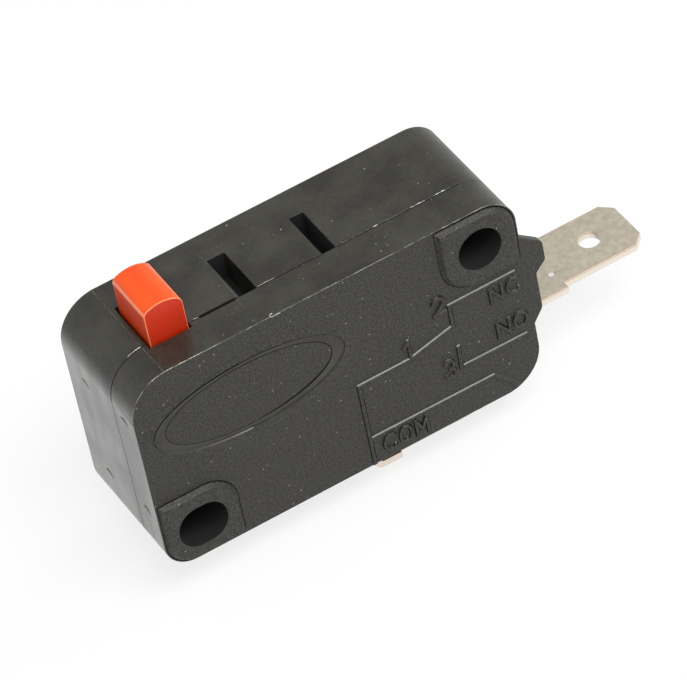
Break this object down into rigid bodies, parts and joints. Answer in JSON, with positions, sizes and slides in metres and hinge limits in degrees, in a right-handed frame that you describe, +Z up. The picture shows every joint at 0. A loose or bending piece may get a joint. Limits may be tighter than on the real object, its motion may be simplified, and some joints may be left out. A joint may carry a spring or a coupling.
{
  "type": "door interlock switch",
  "caption": "Miniature snap-action switch in a two-part housing, with a plunger on top, two push-on tabs and two mounting holes.",
  "frame": {"origin": "centre of the round mounting hole, on the housing's mid-plane between its two faces", "axes": "+X along the housing towards the terminal end, +Y from the cover's face to the case's back, +Z up through the plunger"},
  "size_m": [0.0379, 0.0104, 0.0214],
  "materials": {
    "housing": "fine spark-eroded grain",
    "plunger": "smooth moulded",
    "terminal": "tinned, dull",
    "contact": "silver contact face",
    "spring_parts": "stamped",
    "spring_wire": "drawn wire"
  },
  "bodies": {
    "housing": {"case": "housing", "cover": "housing", "common_terminal": "terminal", "normally_open_terminal": "terminal", "fixed_contact": "contact"},
    "plunger": {"plunger": "plunger"},
    "lever": {"actuating_lever": "spring_parts"},
    "arm": {"contact_arm": "spring_parts", "moving_contact": "contact"},
    "spring": {"tension_spring": "spring_wire"}
  },
  "joints": [
    {"name": "plunger_travel", "type": "slide", "parent": "housing", "child": "plunger", "axis": [0, 0, -1], "range_m": [0, 0.0022], "stiffness_N_per_m": 300, "springref_m": -0.003},
    {"name": "lever_pivot", "type": "hinge", "parent": "housing", "child": "lever", "pos_m": [-0.01165, 0, -0.0029], "axis": [0, -1, 0], "range_deg": [0, 14.2]},
    {"name": "arm_pivot", "type": "hinge", "parent": "housing", "child": "arm", "pos_m": [-0.0175, 0, -0.0057], "axis": [0, 1, 0], "range_deg": [0, 3.9]},
    {"name": "spring_swing", "type": "hinge", "parent": "arm", "child": "spring", "pos_m": [-0.00809, 0, -0.00624], "axis": [0, -1, 0], "range_deg": [0, 9.8], "deforming": ["tension_spring"]}
  ],
  "couplings": [
    {"joint": "lever_pivot", "follows": "plunger_travel", "rad_per_m": 111.61},
    {"joint": "arm_pivot", "follows": "plunger_travel", "rad_per_m": 30.134},
    {"joint": "spring_swing", "follows": "plunger_travel", "rad_per_m": 76.97}
  ]
}
